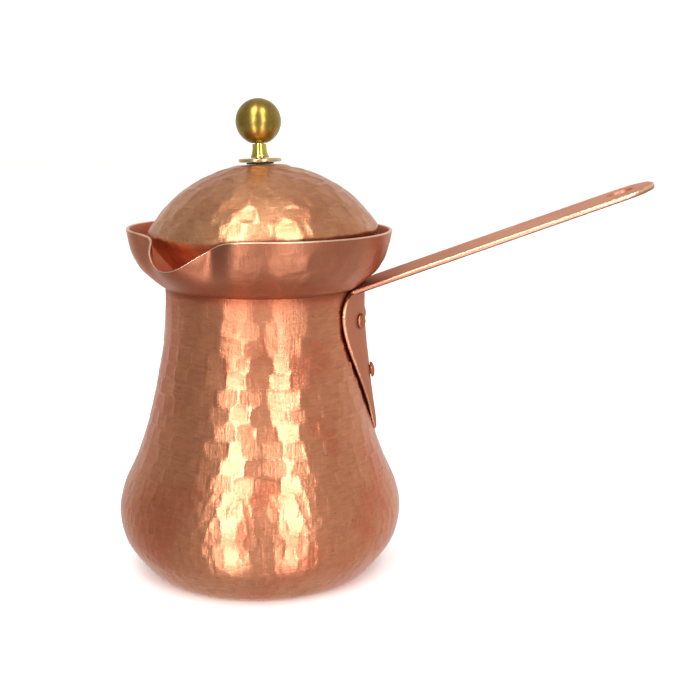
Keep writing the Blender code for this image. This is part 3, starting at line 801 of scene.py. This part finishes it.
class Finish:
    """A material with a Principled shader and short calls to wire procedural nodes into it."""

    def __init__(self, name):
        self.material = bpy.data.materials.new(name)
        self.material.use_nodes = True
        self.tree = self.material.node_tree
        self.shader = self.tree.nodes["Principled BSDF"]
        coordinates = self.tree.nodes.new("ShaderNodeTexCoord")
        self.place = coordinates.outputs["Object"]

    def node(self, kind, inputs=None, **settings):
        made = self.tree.nodes.new(kind)
        for key, value in settings.items():
            setattr(made, key, value)
        for key, value in (inputs or {}).items():
            if isinstance(value, bpy.types.NodeSocket):
                self.tree.links.new(value, made.inputs[key])
            else:
                made.inputs[key].default_value = value
        return made

    def math(self, operation, a, b=0.0, c=0.0):
        return self.node("ShaderNodeMath", {0: a, 1: b, 2: c}, operation=operation).outputs[0]

    def noise(self, vector, scale, detail=3.0, rough=0.55):
        return self.node("ShaderNodeTexNoise", {"Vector": vector, "Scale": scale, "Detail": detail,
                                                "Roughness": rough}).outputs["Fac"]

    def ramp(self, factor, low, high, start=0.0, end=1.0):
        """Factor from low..high mapped to start..end, clamped and smooth."""
        inputs = {"Value": factor, "From Min": low, "From Max": high, "To Min": start, "To Max": end}
        return self.node("ShaderNodeMapRange", inputs, interpolation_type="SMOOTHSTEP").outputs["Result"]

    def attribute(self, name):
        return self.node("ShaderNodeAttribute", attribute_name=name).outputs["Fac"]

    def round_axis(self):
        """Tangent round the Z axis, for brushing that runs round a turned piece."""
        return self.node("ShaderNodeTangent", direction_type="RADIAL", axis="Z").outputs[0]

    def mix(self, factor, a, b, blend="MIX"):
        made = self.tree.nodes.new("ShaderNodeMix")
        made.data_type = "RGBA"
        made.blend_type = blend
        sockets = {"Factor_Float": factor, "A_Color": a, "B_Color": b}
        for socket in made.inputs:
            if socket.identifier in sockets:
                value = sockets[socket.identifier]
                if isinstance(value, bpy.types.NodeSocket):
                    self.tree.links.new(value, socket)
                elif isinstance(value, tuple):
                    socket.default_value = (*value, 1.0)
                else:
                    socket.default_value = value
        return next(o for o in made.outputs if o.identifier == "Result_Color")

    def around(self, turn_scale, rise_scale):
        """Coordinates for marks that run round the Z axis, closer together up it than round it."""
        split = self.node("ShaderNodeSeparateXYZ", {0: self.place})
        flat = self.node("ShaderNodeCombineXYZ", {0: split.outputs[0], 1: split.outputs[1], 2: 0.0})
        unit = self.node("ShaderNodeVectorMath", {0: flat.outputs[0]}, operation="NORMALIZE").outputs[0]
        wide = {0: unit, "Scale": turn_scale}
        apart = self.node("ShaderNodeVectorMath", wide, operation="SCALE").outputs[0]
        rise = self.math("MULTIPLY", split.outputs[2], rise_scale)
        lift = self.node("ShaderNodeCombineXYZ", {0: 0.0, 1: 0.0, 2: rise})
        return self.node("ShaderNodeVectorMath", {0: apart, 1: lift.outputs[0]}, operation="ADD").outputs[0]

    def scaled(self, x, y, z, turn=0.0):
        """Object coordinates turned about Y and stretched by a scale on each axis."""
        made = self.node("ShaderNodeMapping", {"Vector": self.place, "Rotation": (0.0, turn, 0.0),
                                               "Scale": (x, y, z)})
        return made.outputs["Vector"]

    def bump(self, height, strength, distance, before=None):
        inputs = {"Height": height, "Strength": strength, "Distance": distance}
        if before is not None:
            inputs["Normal"] = before
        return self.node("ShaderNodeBump", inputs).outputs["Normal"]

    def wire(self, **sockets):
        names = {"color": "Base Color", "rough": "Roughness", "normal": "Normal", "tangent": "Tangent"}
        for key, value in sockets.items():
            self.tree.links.new(value, self.shader.inputs[names[key]])

    def fix(self, **values):
        names = {"metallic": "Metallic", "anisotropy": "Anisotropic", "turn": "Anisotropic Rotation"}
        for key, value in values.items():
            self.shader.inputs[names[key]].default_value = value


def times(color, factor):
    """A colour made darker or lighter, no channel above 1."""
    return tuple(min(factor * c, 1) for c in color)


def copper_tones(f, tones, reddened, browned, broad_strokes, scratches, ridge):
    """Clean copper with red and brown patches, specks, brush strokes, scratches, and worn ridges and darker
    hollows that are partly a painted highlight and shade drawing the facets.
    """
    clean, red, brown = tones
    specks = f.noise(f.place, 620.0, 2.0, 0.5)
    color = f.mix(reddened, clean, red)
    color = f.mix(f.math("MULTIPLY", browned, 0.75), color, brown)
    color = f.mix(f.ramp(specks, 0.68, 0.76, 0.0, 0.5), color, times(brown, 0.35))
    color = f.mix(f.ramp(broad_strokes, 0.35, 0.7, 0.0, 0.4), color, times(clean, 0.6))
    color = f.mix(f.ramp(scratches, 0.62, 0.74, 0.0, 0.5), color, times(clean, 1.3))
    # Worn ridges lighter and hollows darker, partly a painted highlight and shade that draw the facets.
    color = f.mix(f.ramp(ridge, 0.55, 0.95, 0.0, 0.32), color, times(clean, 1.25))
    return f.mix(f.ramp(ridge, 0.1, 0.45, 0.2, 0.0), color, times(brown, 0.7))


def heated_band(f, height, patches):
    """Where heat has reddened the copper, on both sides of the crease."""
    wobble = f.math("MULTIPLY_ADD", f.math("SUBTRACT", patches, 0.5), 0.012, height)
    below, above = f.ramp(wobble, 0.0945, 0.1005), f.ramp(wobble, 0.1095, 0.1155, 1.0, 0.0)
    return f.math("MULTIPLY", below, above)


def collar_tones(f, color, height, depthwise, blots, ridge):
    """Tan collar; painted shade on its -Y side and on the neck below it, a painted shadow in the crease and
    a painted highlight along the rim.
    """
    on_collar = f.ramp(height, 0.1002, 0.1014)
    reach = f.math("MAXIMUM", on_collar, f.ramp(height, 0.084, 0.0985, 0.0, 0.75))
    # Painted shade on the -Y side of the collar and of the upper neck, mottled by the blots.
    front_painted_shade = f.math("MULTIPLY", f.ramp(depthwise, -0.044, -0.012, 0.72, 0.0), reach)
    front_painted_shade = f.math("MULTIPLY", front_painted_shade, f.ramp(blots, 0.3, 0.7, 1.15, 0.8))
    from_crease = f.math("ABSOLUTE", f.math("SUBTRACT", height, 0.1004))
    color = f.mix(f.ramp(height, 0.1002, 0.1012, 0.0, 0.65), color, (0.56, 0.215, 0.118))
    color = f.mix(front_painted_shade, color, (0.27, 0.095, 0.052))
    # Painted shadow along the crease.
    color = f.mix(f.ramp(from_crease, 0.0, 0.0024, 0.9, 0.0), color, (0.36, 0.10, 0.045))
    # Painted highlight along the rim.
    return f.mix(f.ramp(ridge, 1.2, 1.8, 0.0, 0.85), color, (0.95, 0.62, 0.44))


def beaten_copper(name, tones, inner, rough=0.295, collar=False):
    """Hand-beaten copper, brushed round its axis. tones: clean, red and brown; inner: the inside, a
    brighter tone that is painted bounce light, turned red near the rim as painted shade when collar is set.
    """
    f = Finish(name)
    ridge = f.attribute("ridge")
    patches = f.noise(f.place, 42.0, 4.0, 0.6)
    blots = f.noise(f.scaled(70.0, 70.0, 48.0), 1.0, 5.0, 0.62)
    strokes = f.noise(f.around(26.0, 3600.0), 1.0, 3.0, 0.6)
    broad_strokes = f.noise(f.around(11.0, 1300.0), 1.0, 4.0, 0.6)
    scratches = f.noise(f.scaled(1500.0, 420.0, 120.0, math.radians(36)), 1.0, 3.0, 0.6)
    browned = f.ramp(blots, 0.52, 0.72)
    reddened = f.ramp(patches, 0.46, 0.66)
    matted = 0.0
    if collar:
        _, depthwise, height = f.node("ShaderNodeSeparateXYZ", {0: f.place}).outputs
        reddened = f.math("MAXIMUM", reddened, heated_band(f, height, patches))
        matted = f.ramp(height, 0.084, 0.101, 0.0, 0.15)
    color = copper_tones(f, tones, reddened, browned, broad_strokes, scratches, ridge)
    if collar:
        color = collar_tones(f, color, height, depthwise, blots, ridge)
        # Painted shade: the inside turns a darker red near the rim.
        inner = f.mix(f.ramp(height, 0.111, 0.117), inner, tones[1])
    # The inside walls and the lid's lower part take the inner tone, a painted bounce light.
    f.wire(color=f.mix(f.ramp(f.attribute("inside"), 0.0, 1.0), color, inner))

    uneven = f.math("MULTIPLY_ADD", strokes, 0.14, rough - 0.06)
    uneven = f.math("ADD", f.math("MULTIPLY_ADD", browned, 0.07, uneven), matted)
    f.wire(rough=f.math("SUBTRACT", uneven, f.ramp(ridge, 0.5, 1.0, 0.0, 0.05)))
    normal = f.bump(strokes, 0.25, 0.0001)
    normal = f.bump(broad_strokes, 0.6, 0.0001, normal)
    normal = f.bump(scratches, 0.5, 0.0001, normal)
    f.wire(normal=f.bump(f.noise(f.place, 900.0, 3.0, 0.65), 0.6, 0.0001, normal))
    f.wire(tangent=f.round_axis())
    f.fix(metallic=1.0, anisotropy=0.5, turn=0.25)
    return f.material


def drawn_copper(name, clean, red, rough=0.42):
    """The strap and plate: lengthwise brushing, painted shade near the pot, dark specks, burnished edges
    with a painted highlight, and a painted shadow along the seams.
    """
    f = Finish(name)
    ridge = f.attribute("ridge")
    edge = f.ramp(f.attribute("inside"), 0.2, 0.9)
    tint = f.noise(f.place, 55.0, 4.0, 0.6)
    strokes = f.noise(f.scaled(160.0, 2600.0, 160.0), 1.0, 3.0, 0.6)
    specks = f.noise(f.place, 700.0, 2.0, 0.5)
    chatter = f.noise(f.place, 1300.0, 2.0, 0.6)
    outward = f.node("ShaderNodeSeparateXYZ", {0: f.place}).outputs[0]
    # Painted shade: darker, and rougher, towards the pot.
    wobble = f.math("MULTIPLY_ADD", f.math("SUBTRACT", tint, 0.5), 0.05, outward)
    painted_shade_near_pot = f.ramp(wobble, 0.042, 0.088, 0.8, 0.0)
    color = f.mix(f.ramp(tint, 0.42, 0.62), clean, red)
    color = f.mix(painted_shade_near_pot, color, (0.62 * red[0], 0.52 * red[1], 0.46 * red[2]))
    color = f.mix(f.ramp(strokes, 0.5, 0.8, 0.0, 0.3), color, times(clean, 0.62))
    color = f.mix(f.ramp(specks, 0.69, 0.77, 0.0, 0.5), color, times(red, 0.3))
    color = f.mix(f.ramp(ridge, 0.3, 0.62, 0.35, 0.0), color, times(red, 0.6))
    # Painted highlight: a pale burnished tone on the rounded edges, strongest away from the pot.
    worn = f.math("MULTIPLY", edge, f.ramp(outward, 0.034, 0.085, 0.3, 0.9))
    worn = f.math("MULTIPLY", worn, f.ramp(chatter, 0.36, 0.56, 0.3, 1.0))
    color = f.mix(worn, color, (1.0, 0.76, 0.50))
    # Painted shadow along the plate's seams and the strap's lower edge.
    color = f.mix(f.ramp(ridge, -0.9, -0.2, 0.92, 0.0), color, (0.10, 0.032, 0.016))
    f.wire(color=color)
    uneven = f.math("MULTIPLY_ADD", strokes, 0.16, rough - 0.08)
    uneven = f.math("MULTIPLY_ADD", edge, -0.12, uneven)
    f.wire(rough=f.math("MULTIPLY_ADD", painted_shade_near_pot, 0.12, uneven))
    normal = f.bump(strokes, 0.2, 0.0001)
    normal = f.bump(f.noise(f.place, 420.0, 3.0, 0.6), 0.16, 0.0003, normal)
    f.wire(normal=normal)
    f.fix(metallic=1.0)
    f.shader.inputs["Specular Tint"].default_value = (0.96, 0.78, 0.68, 1.0)
    return f.material


def turned_metal(name, tone, shade, rough, line_depth, lines=5200.0):
    """Metal off a lathe: fine rings round the axis and a little tarnish."""
    f = Finish(name)
    rings = f.noise(f.around(3.0, lines), 1.0, 2.0, 0.5)
    tarnish = f.noise(f.place, 190.0, 4.0, 0.6)
    color = f.mix(f.ramp(tarnish, 0.42, 0.7, 0.0, 0.8), tone, shade)
    color = f.mix(f.ramp(rings, 0.5, 0.75, 0.0, 0.22), color, times(tone, 0.55))
    f.wire(color=color)
    f.wire(rough=f.math("MULTIPLY_ADD", rings, 0.12, rough - 0.05))
    normal = f.bump(rings, line_depth, 0.0001)
    f.wire(normal=f.bump(f.noise(f.place, 500.0, 3.0, 0.6), 0.08, 0.0002, normal))
    f.wire(tangent=f.round_axis())
    f.fix(metallic=1.0, anisotropy=0.35, turn=0.25)
    return f.material


def rubber(name):
    f = Finish(name)
    grain = f.noise(f.place, 2400.0, 3.0, 0.6)
    f.wire(color=f.mix(grain, (0.012, 0.011, 0.010), (0.035, 0.032, 0.030)))
    f.wire(rough=f.ramp(grain, 0.3, 0.7, 0.45, 0.7))
    f.wire(normal=f.bump(grain, 0.3, 0.0001))
    return f.material


# ---------------------------------------------------------------- stage

def plane(name, size, material):
    mesh = bpy.data.meshes.new(name)
    half = size / 2
    corners = [(-half, -half, 0), (half, -half, 0), (half, half, 0), (-half, half, 0)]
    mesh.from_pydata(corners, [], [(0, 1, 2, 3)])
    mesh.materials.append(material)
    item = linked(name, mesh)
    return item


def build_floor():
    """Plain pale table. Reflections and shadows pass through it, so that the low softboxes can shine up."""
    f = Finish("pale_table")
    mottle = f.noise(f.place, 30.0, 3.0, 0.5)
    f.wire(color=f.mix(mottle, (0.90, 0.90, 0.895), (0.93, 0.93, 0.925)))
    f.wire(rough=f.ramp(mottle, 0.3, 0.7, 0.45, 0.55))
    table = plane("table", 12.0, f.material)
    table.visible_glossy = False
    table.visible_shadow = False
    return table


def build_world():
    """White to the camera and to the table; in reflections, a room with a dim left side and a pale back."""
    world = bpy.data.worlds.new("studio")
    world.use_nodes = True
    nodes, links = world.node_tree.nodes, world.node_tree.links
    background = nodes["Background"]

    def blend(operation, a, b):
        made = nodes.new("ShaderNodeMath")
        made.operation = operation
        for socket, value in zip(made.inputs, (a, b)):
            if isinstance(value, bpy.types.NodeSocket):
                links.new(value, socket)
            else:
                socket.default_value = value
        return made.outputs[0]

    direction = nodes.new("ShaderNodeSeparateXYZ")
    links.new(nodes.new("ShaderNodeTexCoord").outputs["Generated"], direction.inputs[0])
    x, y, z = direction.outputs
    room = blend("ADD", blend("MULTIPLY", x, ROOM_SIDE), ROOM_LEVEL)
    room = blend("ADD", room, blend("MULTIPLY", blend("MAXIMUM", y, 0.0), ROOM_BACK))
    room = blend("ADD", room, blend("MULTIPLY", blend("MAXIMUM", z, 0.0), ROOM_TOP))
    room = blend("ADD", room, blend("MULTIPLY", blend("MINIMUM", z, 0.0), ROOM_BELOW))
    ray = nodes.new("ShaderNodeLightPath")
    plain = blend("SUBTRACT", 1.0, ray.outputs["Is Glossy Ray"])
    dimmed = blend("MULTIPLY", ray.outputs["Is Glossy Ray"], blend("MAXIMUM", room, ROOM_LEAST))
    links.new(blend("ADD", blend("MULTIPLY", plain, WHITE_LEVEL), dimmed), background.inputs["Strength"])
    background.inputs["Color"].default_value = (1.0, 0.99, 0.98, 1.0)
    bpy.context.scene.world = world


def softbox(name, azimuth, elevation, distance, aim, width, height, power, tint=(1.0, 0.97, 0.93)):
    """Area light round the pot; azimuth 0 stands in front of it, on the -Y side."""
    data = bpy.data.lights.new(name, "AREA")
    data.shape = "RECTANGLE"
    data.size = width
    data.size_y = height
    data.energy = power
    data.color = tint
    lamp = linked(name, data)
    turn, rise = math.radians(azimuth), math.radians(elevation)
    aim = Vector(aim)
    away = Vector((math.sin(turn) * math.cos(rise), -math.cos(turn) * math.cos(rise), math.sin(rise)))
    lamp.location = aim + away * distance
    lamp.rotation_euler = away.to_track_quat("Z", "Y").to_euler()
    return lamp


def build_lights():
    """Two tall strips in front, two more below the table's level, and two broad boxes for the dome."""
    strips = (0.0, 0.0, 0.05)
    dome = (0.0, 0.0, 0.13)
    softbox("window_left", -20, 23, 0.66, strips, 0.05, 0.54, 2.1, STRIP_TINT)
    softbox("window_right", 29, 23, 0.66, strips, 0.05, 0.54, 1.95, STRIP_TINT)
    softbox("low_left", -20, -30, 0.75, strips, 0.05, 0.46, 1.6, STRIP_TINT)
    softbox("low_right", 29, -30, 0.75, strips, 0.05, 0.46, 1.35, STRIP_TINT)
    softbox("high_left", -28, 57, 0.7, dome, 0.17, 0.32, 2.1)
    softbox("high_right", 36, 53, 0.7, dome, 0.16, 0.20, 1.4)


def build_camera():
    """Camera a little above the lid, turned down onto the pot and rolled by a fraction of a degree."""
    place = Vector((0.03144, -0.38966, 0.15385))
    pitch, roll = math.radians(10.98), math.radians(0.67)
    forward = Vector((0, math.cos(pitch), -math.sin(pitch)))
    level_up = Vector((0, math.sin(pitch), math.cos(pitch)))
    level_right = Vector((1, 0, 0))
    up = level_up * math.cos(roll) - level_right * math.sin(roll)
    right = level_right * math.cos(roll) + level_up * math.sin(roll)
    data = bpy.data.cameras.new("camera")
    data.sensor_width = 36.0
    data.lens = 57.96
    data.clip_start = 0.01
    camera = linked("camera", data)
    rows = [(right[i], up[i], -forward[i], place[i]) for i in range(3)]
    camera.matrix_world = Matrix(rows + [(0, 0, 0, 1)])
    bpy.context.scene.camera = camera


# ---------------------------------------------------------------- assembly

def main():
    vessel_tones = [(0.69, 0.270, 0.138), (0.66, 0.195, 0.098), (0.52, 0.205, 0.100)]
    cap_tones = [(0.69, 0.325, 0.165), (0.62, 0.245, 0.12), (0.50, 0.23, 0.11)]
    # The third colour is the inside tone, brighter than clean copper: painted bounce light.
    vessel = beaten_copper("beaten_copper", vessel_tones, (1.0, 0.42, 0.22), collar=True)
    cap = beaten_copper("lid_beaten_copper", cap_tones, (0.84, 0.43, 0.26), rough=0.34)
    strap = drawn_copper("strap_copper", (0.84, 0.41, 0.265), (0.78, 0.33, 0.205))
    stud = drawn_copper("rivet_copper", (0.72, 0.33, 0.20), (0.62, 0.24, 0.14), 0.32)
    satin = turned_metal("satin_brass", (0.37, 0.25, 0.055), (0.22, 0.135, 0.028), 0.30, 0.14)
    bright = turned_metal("bright_brass", (0.66, 0.54, 0.10), (0.48, 0.37, 0.06), 0.14, 0.10)
    worn = turned_metal("worn_brass", (0.74, 0.56, 0.27), (0.60, 0.42, 0.18), 0.26, 0.12)
    steel = turned_metal("zinc_steel", (0.55, 0.56, 0.57), (0.38, 0.38, 0.39), 0.3, 0.12)
    fibre = rubber("black_fibre")

    build_pot(vessel)
    build_handle(strap)
    for number, (name, place) in enumerate(RIVETS.items()):
        build_rivet(name, place, RIVET_SEED + number, stud)
    build_lid(cap)
    build_ball(satin)
    build_stem(bright)
    build_disc(worn)
    for name, material in (("knob_washer", fibre), ("screw_washer", steel), ("knob_screw", steel)):
        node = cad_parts[name]
        node.data.materials.clear()
        node.data.materials.append(material)

    build_floor()
    build_world()
    build_lights()
    build_camera()
    bpy.context.scene.view_settings.view_transform = "Standard"


main()
